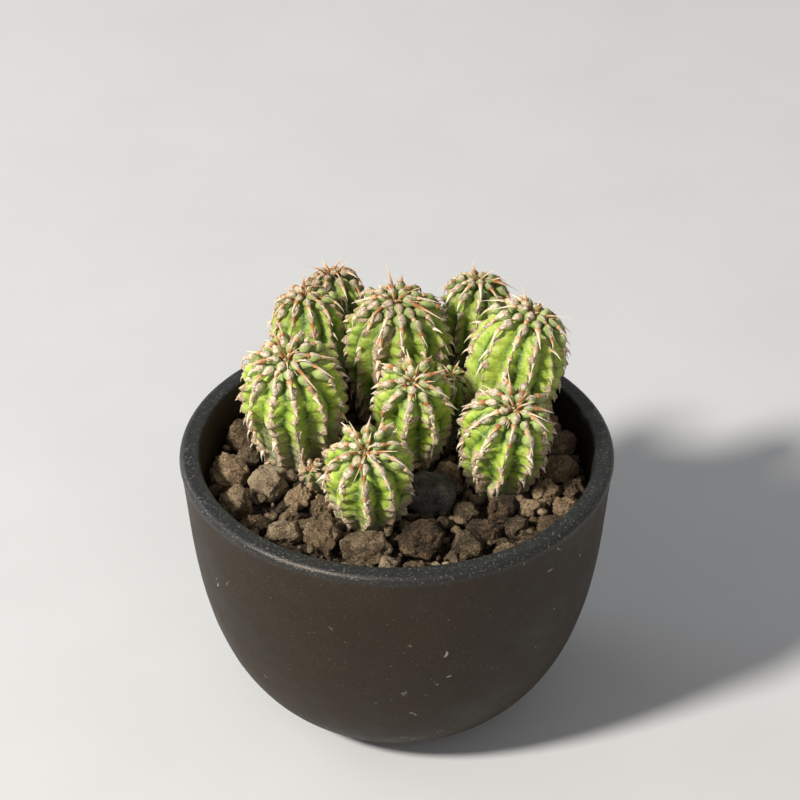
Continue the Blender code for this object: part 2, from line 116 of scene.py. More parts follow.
TOOTH_STAGGER = 0.0019  # how much further that is on every other rib
SECOND_TOOTH = 0.0032  # from the first tubercle to the second
TOOTH_PITCH = 0.0039  # from there on
TOOTH_PEAK = 0.68  # where along a tubercle its point is
BULB_LENGTH = 0.0044
BULB_RADIUS = 0.0015
LEAST_CORK = 0.00005  # half width of the cork on a rib's crest
TOOTH_CORK = 0.00088  # what a tubercle adds to it
AGE_CORK = 0.00095  # what age adds to it
SCAR_CORK = 0.0016  # what a scar adds to it
LEAST_SPINE = 0.0007  # a shorter spine is left out
GOLDEN_ANGLE = math.radians(137.5)


# ---- putting meshes together ----
def lumps(points, size, seed):
    """Smooth noise from about -1 to 1 at each point, with lumps of one size."""
    places = np.asarray(points).reshape(-1, 3) / size + np.array((seed, seed * 1.7, -seed))
    return np.array([noise.noise(place) for place in places.tolist()])


def relief(points, *layers):
    """Lumps of several sizes added up.  Each layer is (size, height, seed)."""
    return sum(lumps(points, size, seed) * height for size, height, seed in layers)


def smooth_step(value, low, high):
    part = np.clip((value - low) / (high - low), 0.0, 1.0)
    return part * part * (3.0 - 2.0 * part)


def unit(vector):
    return vector / np.linalg.norm(vector)


def round_angles(count):
    return np.linspace(0.0, TURN, count, endpoint=False)


def ring_quads(rows, columns, first=0, closed=False):
    """Faces that join each ring of points to the next, and the last to the first if closed."""
    row = np.arange(rows if closed else rows - 1)[:, None]
    above = first + columns * row
    below = first + columns * ((row + 1) % rows)
    here = np.arange(columns)[None, :]
    after = (here + 1) % columns
    return np.stack([above + here, below + here, below + after, above + after], -1).reshape(-1, 4)


def new_object(name, data):
    thing = bpy.data.objects.new(name, data)
    bpy.context.scene.collection.objects.link(thing)
    return thing


class Body:
    """Points, faces and per-point values of a piece, from one or more closed bodies."""

    def __init__(self):
        self.points = []
        self.faces = []
        self.values = {}
        self.count = 0

    def add(self, points, faces, **values):
        points = np.asarray(points, float).reshape(-1, 3)
        self.points.append(points)
        for block in faces:
            self.faces.extend((np.asarray(block) + self.count).tolist())
        self.count += len(points)
        for key, value in values.items():
            filled = np.broadcast_to(np.asarray(value, float), (len(points),))
            self.values.setdefault(key, []).append(filled)

    def add_rings(self, rings, first, last, **values):
        """A closed body from rings of points, its outside running from first to last."""
        rows, columns = rings.shape[:2]
        points = np.concatenate([[first], rings.reshape(-1, 3), [last]])
        around = np.arange(columns)
        beside = (around + 1) % columns
        end = rows * columns + 1
        low = 1 + (rows - 1) * columns
        top = np.stack([np.zeros(columns, int), 1 + around, 1 + beside], -1)
        bottom = np.stack([np.full(columns, end), low + beside, low + around], -1)
        spread = {}
        for key, value in values.items():
            grid = np.broadcast_to(np.asarray(value, float), (rows, columns))
            spread[key] = np.concatenate([[grid[0].mean()], grid.reshape(-1), [grid[-1].mean()]])
        self.add(points, (ring_quads(rows, columns, 1), top, bottom), **spread)

    def make(self, name, material, slot, replaced=()):
        mesh = bpy.data.meshes.new(name)
        mesh.from_pydata(np.concatenate(self.points).tolist(), [], self.faces)
        for key, blocks in self.values.items():
            layer = mesh.attributes.new(key, "FLOAT", "POINT")
            layer.data.foreach_set("value", np.concatenate(blocks).astype(np.float32))
        mesh.shade_smooth()
        mesh.materials.append(material)
        piece = new_object(name, mesh)
        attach(piece, "root")
        if replaced:
            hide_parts(*replaced)
        return piece


def welded(node):
    """A CAD node's mesh as a bmesh whose faces share their corners."""
    bm = bmesh.new()
    bm.from_mesh(NODES[node].data)
    bmesh.ops.remove_doubles(bm, verts=bm.verts, dist=1e-6)
    return bm


def tree_of(nodes):
    """One search tree over the skins of several CAD nodes."""
    points, faces = [], []
    for node in nodes:
        mesh = NODES[node].data
        start = len(points)
        points.extend(v.co.copy() for v in mesh.vertices)
        faces.extend([start + k for k in face.vertices] for face in mesh.polygons)
    return BVHTree.FromPolygons(points, faces)


# ---- node materials ----
class Look:
    """A procedural material while its nodes are being joined up."""

    def __init__(self, name, roughness=0.6, **settings):
        self.material = bpy.data.materials.new(name)
        self.material.use_nodes = True
        self.nodes = self.material.node_tree.nodes
        self.links = self.material.node_tree.links
        self.shader = self.nodes["Principled BSDF"]
        self.shader.inputs["Roughness"].default_value = roughness
        for key, value in settings.items():
            self.shader.inputs[key.replace("_", " ")].default_value = value
        self.place = self.node("TexCoord").outputs["Object"]

    def feed(self, socket, value):
        """Link an output to a socket, or set it to a number or a colour."""
        if isinstance(value, bpy.types.NodeSocket):
            self.links.new(value, socket)
        elif isinstance(value, tuple):
            socket.default_value = (*value, 1.0)
        else:
            socket.default_value = value

    def node(self, kind, **inputs):
        """A new node with its inputs linked or set."""
        node = self.nodes.new("ShaderNode" + kind)
        for key, value in inputs.items():
            self.feed(node.inputs[key], value)
        return node

    def value(self, name):
        """A per-point value that the mesh carries."""
        node = self.node("Attribute")
        node.attribute_name = name
        return node.outputs["Fac"]

    def noise(self, size, detail=3.0, rough=0.55, twist=0.0, stretch=None):
        return self.node("TexNoise", Vector=self.stretched(stretch), Scale=1.0 / size,
                         Detail=detail, Roughness=rough, Distortion=twist).outputs["Fac"]

    def cells(self, size, feature="F1"):
        node = self.node("TexVoronoi", Vector=self.place)
        node.feature = feature
        node.inputs["Scale"].default_value = 1.0 / size
        return node.outputs["Distance"]

    def stretched(self, factors):
        if factors is None:
            return self.place
        node = self.node("Mapping", Vector=self.place)
        node.inputs["Scale"].default_value = factors
        return node.outputs["Vector"]

    def math(self, operation, one, two=0.0):
        node = self.node("Math")
        node.operation = operation
        self.feed(node.inputs[0], one)
        self.feed(node.inputs[1], two)
        return node.outputs[0]

    def plus(self, one, two):
        return self.math("ADD", one, two)

    def times(self, one, two):
        return self.math("MULTIPLY", one, two)

    def sway(self, value, pattern, amount):
        """A value moved up and down by a pattern that lies about 0.5."""
        return self.plus(value, self.times(self.math("SUBTRACT", pattern, 0.5), amount))

    def step(self, value, low, high, to_low=0.0, to_high=1.0):
        """A smooth step of a value between two levels."""
        node = self.node("MapRange", Value=value)
        node.interpolation_type = "SMOOTHSTEP"
        for key, number in zip(("From Min", "From Max", "To Min", "To Max"),
                               (low, high, to_low, to_high)):
            node.inputs[key].default_value = number
        return node.outputs["Result"]

    def mix(self, factor, one, two):
        node = self.node("Mix")
        node.data_type = "RGBA"
        self.feed(node.inputs["Factor"], factor)
        self.feed(node.inputs[6], one)
        self.feed(node.inputs[7], two)
        return node.outputs[2]

    def ramp(self, factor, *stops):
        node = self.node("ValToRGB", Fac=factor)
        marks = node.color_ramp.elements
        for _ in range(len(stops) - 2):
            marks.new(0.5)
        for mark, (place, colour) in zip(marks, stops):
            mark.position = place
            mark.color = (*colour, 1.0)
        return node.outputs["Color"]

    def colour(self, output):
        self.links.new(output, self.shader.inputs["Base Color"])

    def gloss(self, output):
        self.links.new(output, self.shader.inputs["Roughness"])

    def bumps(self, *layers):
        """Bump layers as (height, strength, depth in metres)."""
        normal = None
        for height, strength, depth in layers:
            node = self.node("Bump", Strength=strength, Distance=depth, Height=height)
            if normal is not None:
                self.links.new(normal, node.inputs["Normal"])
            normal = node.outputs["Normal"]
        self.links.new(normal, self.shader.inputs["Normal"])


def skin_look(name, dryness, painted_shade):
    """Fleshy green skin with corky rib edges.  Dryness adds brown, and painted shade darkens stems
    that stand further back.
    """
    look = Look(name, Subsurface_Weight=0.12, Subsurface_Scale=0.0015, Specular_IOR_Level=0.35)
    look.shader.inputs["Subsurface Radius"].default_value = (0.8, 1.0, 0.3)
    height = look.value("groove")
    age = look.value("age")
    young = look.value("young")
    patches = look.noise(0.0042)
    grain = look.noise(0.0009, 4.0, rough=0.65)
    streaks = look.noise(0.0017, 5.0, rough=0.7, twist=0.5, stretch=(1.0, 1.0, 2.2))
    cork_grain = look.noise(0.0007, 5.0, rough=0.7, twist=0.6)

    # flesh: darker in the grooves, partly its own colour and partly painted shade; yellower in
    # patches, waxy in streaks
    green = look.ramp(look.sway(height, patches, 1.05),
                      (0.0, (0.018, 0.048, 0.003)), (0.24, (0.085, 0.165, 0.009)),
                      (0.52, (0.24, 0.34, 0.026)), (0.92, (0.41, 0.5, 0.09)))
    yellow = look.step(look.noise(0.006, 2.0), 0.48, 0.66)
    green = look.mix(look.times(yellow, 0.5), green, (0.33, 0.39, 0.04))
    waxy = look.step(look.plus(streaks, look.times(age, 0.14)), 0.54, 0.7)
    green = look.mix(look.times(waxy, 0.42), green, (0.46, 0.48, 0.215))
    speck = look.step(look.noise(0.0013, 4.0, rough=0.7), 0.55, 0.68)
    green = look.mix(look.times(speck, 0.45), green, (0.055, 0.085, 0.009))
    # new growth: dark in its grooves, partly painted shade
    new_growth = look.mix(height, (0.02, 0.048, 0.01), (0.36, 0.405, 0.165))
    green = look.mix(look.times(young, 0.7), green, new_growth)
    # painted shade: the whole flesh darker on stems that stand further back
    green = look.mix(painted_shade, green, (0.05, 0.07, 0.01))

    # withered flesh, from the foot up
    wither = look.sway(age, look.noise(0.003, 4.0, rough=0.65), 1.2)
    grey = look.ramp(look.noise(0.0016, 5.0, rough=0.7), (0.3, (0.11, 0.09, 0.05)),
                     (0.52, (0.29, 0.265, 0.17)), (0.75, (0.5, 0.46, 0.35)))
    green = look.mix(look.step(wither, 0.62 - 0.25 * dryness, 1.0 - 0.2 * dryness, 0.0, 0.85),
                     green, grey)

    # cork: cracked, orange in places, pale where it is new
    cork = look.ramp(cork_grain, (0.26, (0.16, 0.095, 0.05)), (0.42, (0.37, 0.26, 0.155)),
                     (0.56, (0.54, 0.435, 0.3)), (0.78, (0.68, 0.59, 0.425)))
    orange = look.step(look.noise(0.0023, 2.0), 0.6 - 0.1 * min(dryness, 1.3), 0.74)
    cork = look.mix(look.times(orange, 0.6), cork, (0.4, 0.19, 0.07))
    whole = look.step(look.cells(0.0012, feature="DISTANCE_TO_EDGE"), 0.015, 0.07)
    cracks = look.math("SUBTRACT", 1.0, whole)
    cork = look.mix(look.times(cracks, 0.75), cork, (0.11, 0.06, 0.032))
    fresh = look.times(young, look.step(cork_grain, 0.36, 0.6, 0.0, 0.6))
    cork = look.mix(fresh, cork, (0.66, 0.6, 0.47))
    # painted shade: the cork darker on stems that stand further back
    cork = look.mix(0.8 * painted_shade, cork, (0.17, 0.095, 0.04))

    edge = look.sway(look.sway(look.value("cork"), grain, 0.55), patches, 0.65)
    cover = look.step(edge, 0.42 - 0.06 * dryness, 0.58)
    look.colour(look.mix(cover, green, cork))
    look.gloss(look.step(cover, 0.0, 1.0, 0.48, 0.85))
    wrinkles = look.noise(0.0011, stretch=(1.0, 1.0, 2.4))
    look.bumps((wrinkles, 0.55, 0.0005), (streaks, 0.45, 0.0005), (grain, 0.45, 0.00025),
               (look.times(cover, cork_grain), 0.9, 0.0004))
    return look.material


def spine_look():
    """Dried leaf tips: orange brown where they grow, pale at the point."""
    look = Look("dry_spine", roughness=0.72, Specular_IOR_Level=0.3)
    grain = look.noise(0.0005, 4.0, rough=0.6)
    along = look.sway(look.sway(look.value("along"), look.value("tone"), 0.7), grain, 0.5)
    look.colour(look.ramp(along, (0.0, (0.26, 0.105, 0.03)), (0.22, (0.46, 0.25, 0.105)),
                          (0.48, (0.58, 0.42, 0.26)), (0.9, (0.66, 0.56, 0.43))))
    look.bumps((grain, 0.6, 0.0002))
    return look.material


STONE_SHADES = {
    "stone_brown": ((0.016, 0.009, 0.004), (0.122, 0.076, 0.038), (0.5, 0.36, 0.205)),
    "stone_pale": ((0.034, 0.021, 0.011), (0.16, 0.11, 0.06), (0.58, 0.45, 0.285)),
    "stone_dark": ((0.01, 0.006, 0.003), (0.086, 0.056, 0.03), (0.43, 0.31, 0.18)),
    "stone_slate": ((0.02, 0.019, 0.018), (0.092, 0.086, 0.076), (0.4, 0.34, 0.25)),
}


def stone_look(slot):
    """Porous volcanic stone in three shades of one colour, with pale flecks and with pits darkened
    as painted shade.
    """
    dark, middle, light = STONE_SHADES[slot]
    smooth = slot == "stone_slate"
    look = Look(slot, roughness=0.62 if smooth else 0.92, Specular_IOR_Level=0.3)
    broad = look.noise(0.0045, 2.0)
    fine = look.noise(0.0006, 6.0, rough=0.8)
    sand = look.noise(0.0003, 2.0, rough=0.6)
    level = look.plus(look.times(broad, 0.42), look.times(fine, 0.38))
    level = look.plus(level, look.times(sand, 0.36))
    level = look.plus(level, look.times(look.value("tone"), 0.16))
    shade = look.ramp(level, (0.43, dark), (0.58, middle), (0.78, light))
    solid = look.step(look.cells(0.0012), 0.1, 0.32)
    pits = look.math("SUBTRACT", 1.0, solid)
    # painted shade: the pits darkened towards the darkest colour
    shade = look.mix(look.times(pits, 0.5), shade, dark)
    flecks = look.step(look.noise(0.00042, 2.0), 0.66, 0.72)
    shade = look.mix(look.times(flecks, 0.25 if smooth else 0.45), shade, (0.5, 0.42, 0.3))
    look.colour(shade)
    strength = 0.75 if smooth else 1.0
    look.bumps((fine, strength, 0.0007), (sand, 0.8 * strength, 0.0003),
               (solid, 0.5 * strength, 0.0004))
    return look.material


def soil_look():
    look = Look("soil", roughness=0.96, Specular_IOR_Level=0.2)
    crumbs = look.noise(0.0011, 6.0, rough=0.75)
    broad = look.noise(0.006)
    look.colour(look.ramp(look.plus(look.times(crumbs, 0.7), look.times(broad, 0.3)),
                          (0.35, (0.01, 0.007, 0.005)), (0.52, (0.04, 0.027, 0.018)),
                          (0.7, (0.11, 0.08, 0.056)), (0.84, (0.25, 0.195, 0.145))))
    look.bumps((crumbs, 1.0, 0.0008))
    return look.material


def pot_look():
    """Matt dark stoneware: speckled, with dust, chalky marks and thin scratches."""
    look = Look("matt_stoneware", Specular_IOR_Level=0.36, Specular_Tint=(1.0, 0.88, 0.74, 1.0))
    cloud = look.noise(0.018, 4.0, rough=0.6)
    grain = look.noise(0.00045, rough=0.7)
    rim = look.value("rim")
    shade = look.ramp(look.plus(look.times(cloud, 0.4), look.times(grain, 0.6)),
                      (0.34, (0.006, 0.0036, 0.0014)), (0.5, (0.012, 0.0076, 0.0034)),
                      (0.68, (0.03, 0.021, 0.012)))
    shade = look.mix(rim, shade, (0.011, 0.0122, 0.013))
    dust = look.times(look.step(look.cells(0.0017), 0.2, 0.08),
                      look.step(look.noise(0.006, 2.0), 0.5, 0.62))
    shade = look.mix(look.times(dust, 0.12), shade, (0.13, 0.115, 0.095))
    specks = look.step(look.noise(0.0006, 1.0), 0.735, 0.79)
    shade = look.mix(look.times(specks, 0.42), shade, (0.24, 0.215, 0.18))
    streak = look.noise(0.004, 2.0, twist=1.2, stretch=(1.0, 1.0, 0.35))
    line = look.step(look.math("ABSOLUTE", look.math("SUBTRACT", streak, 0.5)), 0.0035, 0.0)
    scratch = look.times(line, look.step(look.noise(0.011, 2.0), 0.6, 0.68))
    shade = look.mix(look.times(scratch, 0.5), shade, (0.2, 0.18, 0.155))
    chalk = look.times(look.step(look.noise(0.0034, 2.0, twist=0.8), 0.705, 0.735),
                       look.step(look.noise(0.016, 1.0), 0.48, 0.6))
    shade = look.mix(look.times(chalk, 0.65), shade, (0.33, 0.3, 0.26))
    grit = look.step(look.noise(0.00055, rough=0.8), 0.585, 0.66)
    shade = look.mix(look.times(look.times(rim, grit), 0.6), shade, (0.24, 0.235, 0.21))
    look.colour(shade)
    look.gloss(look.math("SUBTRACT", look.step(cloud, 0.35, 0.65, 0.52, 0.64),
                         look.times(rim, 0.2)))
    look.bumps((grain, 0.45, 0.00022), (cloud, 0.25, 0.0006))
    return look.material


# ---- stems ----
class Stem:
    """A stem's axis, rib count, turn and girth, read from its CAD node."""

    def __init__(self, name):
        skin = welded(name)
        self.tree = BVHTree.FromBMesh(skin)
        heights = [v.co.z for v in skin.verts]
        halfway = 0.5 * (min(heights) + max(heights))
        tip = max((v for v in skin.verts if v.co.z > halfway), key=lambda v: len(v.link_edges))
        base = [v.co for v in skin.verts if v.co.z < min(heights) + 1e-5]
        self.ribs = len(tip.link_edges) // 2
        self.crown = np.array(tip.co)
        middle = sum(base, Vector()) / len(base)
        self.foot = np.array((middle.x, middle.y, SOIL_TOP))
        skin.free()
        rise = self.crown - self.foot
        self.height = rise[2]
        self.bend = self.foot + rise * (BEND_LEAN, BEND_LEAN, BEND_HEIGHT)
        self.girth = max(self.reach(share, angle) for share in np.linspace(0.3, 0.9, 13)
                         for angle in np.linspace(0.0, TURN, 90))
        self.turn = self.find_turn()
        self.scale = math.sqrt(self.girth / USUAL_GIRTH)
        self.find_profile()
        self.find_squeeze()

    def axis(self, share):
        back = 1.0 - share
        return back**2 * self.foot + 2 * back * share * self.bend + share**2 * self.crown

    def cross(self, share):
        """Directions at a share of the axis: two across it, the first nearest +X, and along it."""
        along = unit((1.0 - share) * (self.bend - self.foot) + share * (self.crown - self.bend))
        across = unit(np.array((1.0, 0.0, 0.0)) - along[0] * along)
        return across, np.cross(along, across), along

    def reach(self, share, angle):
        """Distance from the axis to the CAD skin."""
        across, other, _ = self.cross(share)
        away = across * math.cos(angle) + other * math.sin(angle)
        hit = self.tree.ray_cast(Vector(self.axis(share)), Vector(away), RAY_LENGTH)
        return hit[3] if hit[0] is not None else 0.0

    def find_turn(self):
        """Angle of the first rib, from the wave that the ribs make round the axis."""
        angles = round_angles(360)
        wave = 0.0
        for share in (0.35, 0.45, 0.55, 0.65):
            radii = np.array([self.reach(share, angle) for angle in angles])
            wave += np.sum(radii * np.exp(-1j * self.ribs * angles))
        return -np.angle(wave) / self.ribs

    def find_profile(self):
        """Rows down the skin from the crown: distance along it, share of the axis, radius."""
        widest = 1.0 - DOME_SHARE * self.girth / self.height
        lift = np.linspace(math.pi / 2, 0.0, 80)
        dome = np.sin(lift)**(2.0 / DOME_POWER)
        foot = FOOT_SHARE * self.girth
        fall = np.linspace(1.0, 0.0, 100)[1:]
        swell = np.sin(fall * math.pi / 2)**BARREL_POWER
        share = np.concatenate([widest + dome * (1.0 - widest), fall * widest])
        radius = np.concatenate([self.girth * np.cos(lift), foot + (self.girth - foot) * swell])
        steps = np.hypot(np.diff(radius), np.diff(share) * self.height)
        length = np.concatenate([[0.0], np.cumsum(steps)])
        rows = np.linspace(0.0, length[-1], int(length[-1] / ROW_STEP))
        self.length = rows
        self.share = np.interp(rows, length, share)
        self.radius = np.interp(rows, length, radius)
        out = np.gradient(self.radius, rows)
        down = -np.gradient(self.share * self.height, rows)
        size = np.hypot(out, down)
        self.out = down / size
        self.lift = out / size
        self.read = widest + DOME_READ * (1.0 - widest)

    def find_squeeze(self):
        """How far each rib is pressed in by the neighbours, for each row."""
        inside = np.flatnonzero((self.share <= self.read) & (self.share >= FOOT_READ))
        room = np.ones((len(self.length), self.ribs))
        for row in inside:
            for rib in range(self.ribs):
                part = self.reach(self.share[row], self.rib_angle(rib)) / self.radius[row]
                room[row, rib] = min(1.0, part / SQUEEZED)
        room[:inside[0]] = room[inside[0]]
        room[inside[-1]:] = room[inside[-1]]
        kernel = np.hanning(SQUEEZE_ROWS + 2)[1:-1]
        kernel /= kernel.sum()
        margin = SQUEEZE_ROWS // 2
        padded = np.pad(room, ((margin, margin), (0, 0)), mode="edge")
        self.room = np.stack([np.convolve(padded[:, rib], kernel, mode="valid")
                              for rib in range(self.ribs)], -1)

    def rib_angle(self, rib):
        return self.turn + TURN * rib / self.ribs

    def place_teeth(self, dice):
        """Where each rib's tubercles begin, measured down the skin from the crown."""
        self.teeth = []
        for rib in range(self.ribs):
            first = FIRST_TOOTH + TOOTH_STAGGER * (rib % 2) + dice.uniform(-0.0003, 0.0003)
            second = SECOND_TOOTH + dice.uniform(-0.0004, 0.0004)
            marks = [first * self.scale, first * self.scale + second * self.scale]
            while marks[-1] < self.length[-1]:
                marks.append(marks[-1] + TOOTH_PITCH * self.scale * dice.uniform(0.82, 1.15))
            self.teeth.append(marks)

    def skin_frame(self, rib, length):
        """A point on a rib's crest, with the directions out of the skin and down along it."""
        rows = (self.share, self.radius, self.room[:, rib], self.out, self.lift)
        share, radius, room, out, lift = (np.interp(length, self.length, row) for row in rows)
        across, other, along = self.cross(share)
        angle = self.rib_angle(rib)
        away = across * math.cos(angle) + other * math.sin(angle)
        normal = unit(away * out + along * lift)
        down = unit(away * lift - along * out)
        return self.axis(share) + away * radius * room, normal, down


def tooth_shape(part):
    """Height of a tubercle from its upper end, at 0, to its lower end, at 1."""
    rise = np.sin(np.clip(part / TOOTH_PEAK, 0.0, 1.0) * math.pi / 2)**1.4
    drop = np.cos(np.clip((part - TOOTH_PEAK) / (1.0 - TOOTH_PEAK), 0.0, 1.0) * math.pi / 2)
    return rise * drop**0.8


def tooth_rows(stem, rib_of, dice):
    """Height of the tubercles at each point of the skin, and how far each rib bulges there."""
    length = stem.length[1:]
    tooth = np.zeros((len(length), len(rib_of)))
    bulge = np.zeros((len(length), stem.ribs))
    for rib in range(stem.ribs):
        marks = np.array(stem.teeth[rib])
        index = np.clip(np.searchsorted(marks, length) - 1, 0, len(marks) - 2)
        part = (length - marks[index]) / (marks[index + 1] - marks[index])
        part = np.clip(part, 0.0, 1.0)
        sizes = np.array([dice.uniform(0.55, 1.25) for _ in marks])
        size = np.where(length < marks[1], 0.35, sizes[index])
        tooth[:, rib_of == rib] = (tooth_shape(part) * size)[:, None]
        bulge[:, rib] = np.sin(math.pi * part)
    return tooth, bulge


def stem_skin(stem, dice, scar=None):
    """The ribbed skin of a stem as one closed body, with its cork and its tubercles."""
    lengths = stem.length[1:]
    rows = len(lengths)
    even = np.arange(COLUMNS) / COLUMNS - 0.5
    offset = even - COLUMN_CROWDING * np.sin(4.0 * math.pi * even) / (4.0 * math.pi)
    place = np.tile(offset, stem.ribs)
    lean = np.abs(place)
    slope = 1.0 - 2.0 * lean
    roof = 1.0 - np.sin(math.pi * lean)**GROOVE_SHAPE
    crest = roof * (1.0 - ROUND_SHARE) + ROUND_SHARE * np.cos(math.pi * place)**2
    rib_of = np.repeat(np.arange(stem.ribs), COLUMNS)
    neighbour = (rib_of + np.where(place < 0, -1, 1)) % stem.ribs
    tooth, bulge = tooth_rows(stem, rib_of, dice)
    points = np.zeros((rows, len(place), 3))
    for row, length in enumerate(lengths):
        share = stem.share[row + 1]
        across, other, along = stem.cross(share)
        room = stem.room[row + 1]
        wide = room[rib_of] * (1.0 - lean) + room[neighbour] * lean
        near_foot = min(1.0, 0.35 + share * 3.0)
        near_crown = math.exp(-(length / (CROWN_REACH * stem.scale))**2)
        depth = (GROOVE_DEPTH + CROWN_GROOVES * near_crown) * near_foot
        base = stem.radius[row + 1] * wide * (1.0 - depth * (1.0 - crest))
        angle = stem.turn + TURN * (rib_of + place) / stem.ribs
        swing = np.stack([np.cos(angle), np.sin(angle), np.full(len(angle), share * 4.0)], -1)
        stray = lumps(swing * (1.6, 1.6, 1.0), 1.0, stem.girth * 900.0) * RIB_WANDER
        set_in = min(1.0, length / WANDER_START)
        angle = angle + stray * TURN / stem.ribs * set_in
        push = 0.5 * ZIGZAG * (bulge[row, rib_of] - bulge[row, neighbour]) * (2.0 * lean)**2
        angle = angle + np.sign(place) * push * TURN / stem.ribs
        away = np.outer(np.cos(angle), across) + np.outer(np.sin(angle), other)
        normal = away * stem.out[row + 1] + along * stem.lift[row + 1]
        tall = (tooth[row] - TOOTH_LEVEL) * slope**CREST_ONLY * TOOTH_RISE * stem.scale
        tall *= smooth_step(length, *TOOTH_FADE)
        points[row] = stem.axis(share) + away * base[:, None] + normal * tall[:, None]

    flat = points.reshape(-1, 3)
    centre = np.repeat([stem.axis(share) for share in stem.share[1:]], len(place), axis=0)
    outward = flat - centre
    outward /= np.linalg.norm(outward, axis=1)[:, None]
    uneven = relief(flat, (0.0052, 0.0006, 3.0), (0.0019, 0.0003, 8.0))
    uneven += relief(flat * (1.0, 1.0, 2.6), (0.0014, 0.00014, 4.0))
    age = (lengths / stem.length[-1])[:, None] * np.ones(len(place))
    cork = cork_amount(stem, place, rib_of, tooth, age, flat, dice, scar)
    crust = smooth_step(cork.reshape(-1), 0.42, 0.62)
    crust = crust * (0.0002 + 0.00022 * lumps(flat, 0.0008, 5.0))
    rings = (flat + outward * (uneven + crust)[:, None]).reshape(rows, -1, 3)
    low = stem.foot - UP * SKIN_DEPTH
    sunk = rings[-1] + (low - rings[-1]) * (0.12, 0.12, 1.0)
    # groove: 0 in a groove to 1 on a crest, a little more on tubercles; the skin darkens towards 0,
    # partly as painted shade
    values = {"groove": np.tile(slope**0.7, (rows, 1)) * (0.88 + 0.12 * tooth),
              "cork": cork,
              "age": age,
              "young": 1.0 - smooth_step(age * stem.length[-1], 0.003, 0.009)}
    values = {key: np.concatenate([grid, grid[-1:]]) for key, grid in values.items()}
    body = Body()
    top = stem.crown - stem.cross(1.0)[2] * 0.0003
    body.add_rings(np.concatenate([rings, [sunk]]), top, low, **values)
    return body


def cork_amount(stem, place, rib_of, tooth, age, flat, dice, scar):
    """From 0 to 1: over a half, the skin is cork.  It follows the rib crests."""
    width = TURN / stem.ribs * stem.radius[1:, None] * np.abs(place)[None, :]
    rib_taste = np.array([dice.uniform(0.65, 1.25) for _ in range(stem.ribs)])[rib_of]
    band = (LEAST_CORK + TOOTH_CORK * tooth**2.2 + AGE_CORK * age**2) * rib_taste * stem.scale
    if scar is not None:
        chosen = np.cos(stem.rib_angle(rib_of) - math.radians(scar)) > math.cos(math.pi / stem.ribs)
        middle = np.exp(-((age - 0.42) / 0.28)**4)
        band = band + chosen[None, :] * middle * SCAR_CORK
    drift = lumps(flat, 0.0032, 12.0).reshape(age.shape)
    band = np.maximum(band * (1.0 + 1.6 * drift), 0.8 * LEAST_CORK)
    return np.clip(1.0 - 0.5 * width / band, 0.0, 1.0)


# half width of a bud along its length, both from 0 to 1
BULB_OUTLINE = ((0.0, 0.3), (0.12, 0.74), (0.38, 1.0), (0.62, 0.88), (0.82, 0.5), (1.0, 0.14))


def ragged(rings, size, seed, share):
    """Rings whose points stray unevenly from their own middle."""
    stray = lumps(rings, size, seed).reshape(rings.shape[:2])
    return rings + (rings - rings.mean(axis=1, keepdims=True)) * stray[..., None] * share


def add_bulb(body, start, ahead, upward, length, radius, hook, cork, dry, dice):
    """A tubercle like a small bud, lying on the skin.  Returns its tip and the way it points."""
    sideways = unit(np.cross(ahead, upward))
    upward = np.cross(sideways, ahead)
    stations = np.linspace(0.0, 1.0, 11)
    widths = np.interp(stations, *zip(*BULB_OUTLINE)) * radius
    sides = round_angles(14)
    over = np.cos(sides)
    ridge = np.clip(over, 0.0, 1.0)
    keel = 1.0 + 0.16 * ridge**5
    rings, covers, grooves = [], [], []
    for station, width in zip(stations, widths):
        arch = upward * radius * 0.5 * math.sin(math.pi * station)
        centre = start + ahead * length * station + arch - upward * hook * length * station**3
        rings.append(centre + np.outer(np.sin(sides) * width, sideways)
                     + np.outer(over * width * 0.92 * keel, upward))
        cap = 0.66 * ridge**1.6 * (0.45 + 1.1 * station) + 0.35 * station**3
        covers.append(np.clip(cork * cap + 0.5 * dry, 0.0, 1.0))
        # low under a bud and high on its top, rising to the tip: painted shade under the bud and
        # painted light on top
        grooves.append(np.clip(0.22 + 0.56 * (0.5 + 0.5 * over) + 0.2 * station, 0.0, 1.0))
    rings = ragged(np.array(rings), 0.0011, dice.uniform(0.0, 50.0), 0.16)
    end = rings[-1].mean(axis=0)
    body.add_rings(rings[:, ::-1], start - ahead * radius * 0.3, end + ahead * radius * 0.2,
                   groove=np.array(grooves), cork=np.array(covers), age=0.12 + 0.8 * dry,
                   young=1.0 - dry)
    return end, unit(end - rings[-2].mean(axis=0))


def add_spine(body, start, ahead, droop, length, radius, dice, tone):
    """A dried leaf tip: a flattened, tapered hook that bends towards droop."""
    bend = dice.uniform(0.4, 1.6)
    twist = unit(np.cross(ahead, droop) + 1e-9)
    stations = np.linspace(0.0, 1.0, 8)
    sides = round_angles(6)
    stray = twist * dice.uniform(-0.25, 0.25)
    rings = []
    for station in stations:
        centre = start + length * (ahead * station + (droop * bend + stray) * station**2 * 0.75)
        across = unit(np.cross(unit(ahead + droop * bend * station * 1.2), twist))
        width = radius * ((1.0 - station)**1.3 * 1.25 + 0.12)
        rings.append(centre + np.outer(np.cos(sides) * width * 1.35, twist)
                     + np.outer(np.sin(sides) * width * 0.75, across))
    rings = ragged(np.array(rings), 0.0006, tone * 9.0, 0.25)
    end = rings[-1].mean(axis=0)
    tip = end + unit(end - rings[-2].mean(axis=0)) * radius * 0.2
    along = np.repeat(stations[:, None], len(sides), axis=1)
    body.add_rings(rings[:, ::-1], start - ahead * radius, tip, along=along, tone=tone)


def free_length(tree, start, ahead, length):
    """How much of a spine fits before it would meet a neighbour."""
    origin = Vector(start + ahead * 0.0003)
    hit = tree.ray_cast(origin, Vector(ahead), length + 0.0004)
    if hit[0] is None:
        return length
    return hit[3] - 0.0002


